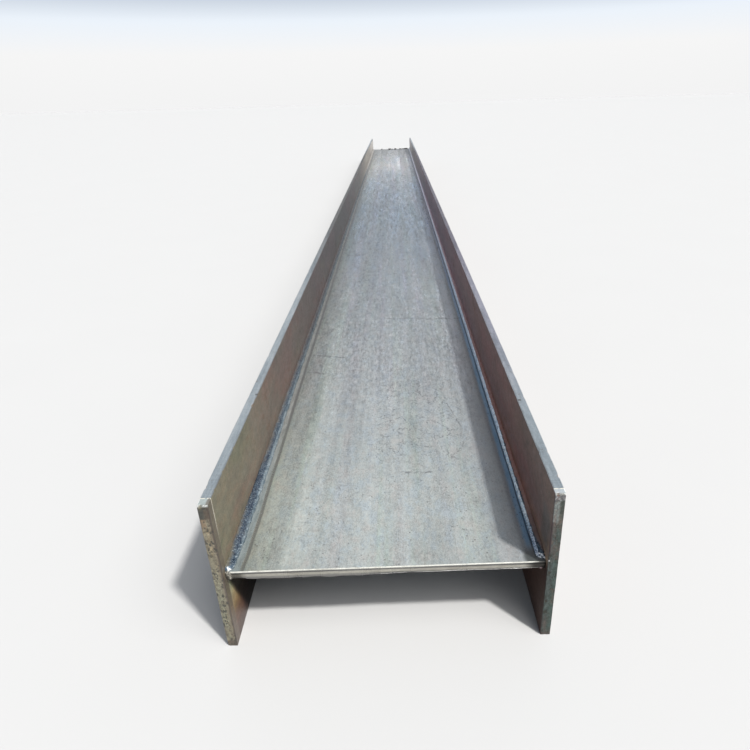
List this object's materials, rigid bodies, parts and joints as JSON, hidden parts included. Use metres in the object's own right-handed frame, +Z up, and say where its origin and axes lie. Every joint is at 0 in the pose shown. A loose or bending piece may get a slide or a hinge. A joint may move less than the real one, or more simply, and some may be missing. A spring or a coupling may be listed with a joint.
{
  "type": "welded steel h-beam",
  "caption": "Built-up steel H-beam: a flat web plate between two upright flange plates, joined by fillet welds, for use as a column or girder.",
  "frame": {"origin": "centre of the beam's footprint, on the surface that the lower edges of both flanges lie on", "axes": "+X from the left flange to the right flange, +Y along the beam, +Z up, across the level web"},
  "size_m": [0.4, 6, 0.216],
  "materials": {
    "web_steel": "hot-rolled plate with worn blue-grey mill scale, light streaks along its length",
    "flange_steel": "hot-rolled plate with brown scale and a thin bloom of rust, pale sheared edges",
    "weld_metal": "rippled weld bead with dark blue temper colour"
  },
  "bodies": {
    "root": {"web_plate": "web_steel", "flange_plate_left": "flange_steel", "flange_plate_right": "flange_steel", "weld_bead_upper_left": "weld_metal", "weld_bead_upper_right": "weld_metal", "weld_bead_lower_left": "weld_metal", "weld_bead_lower_right": "weld_metal"}
  },
  "joints": []
}
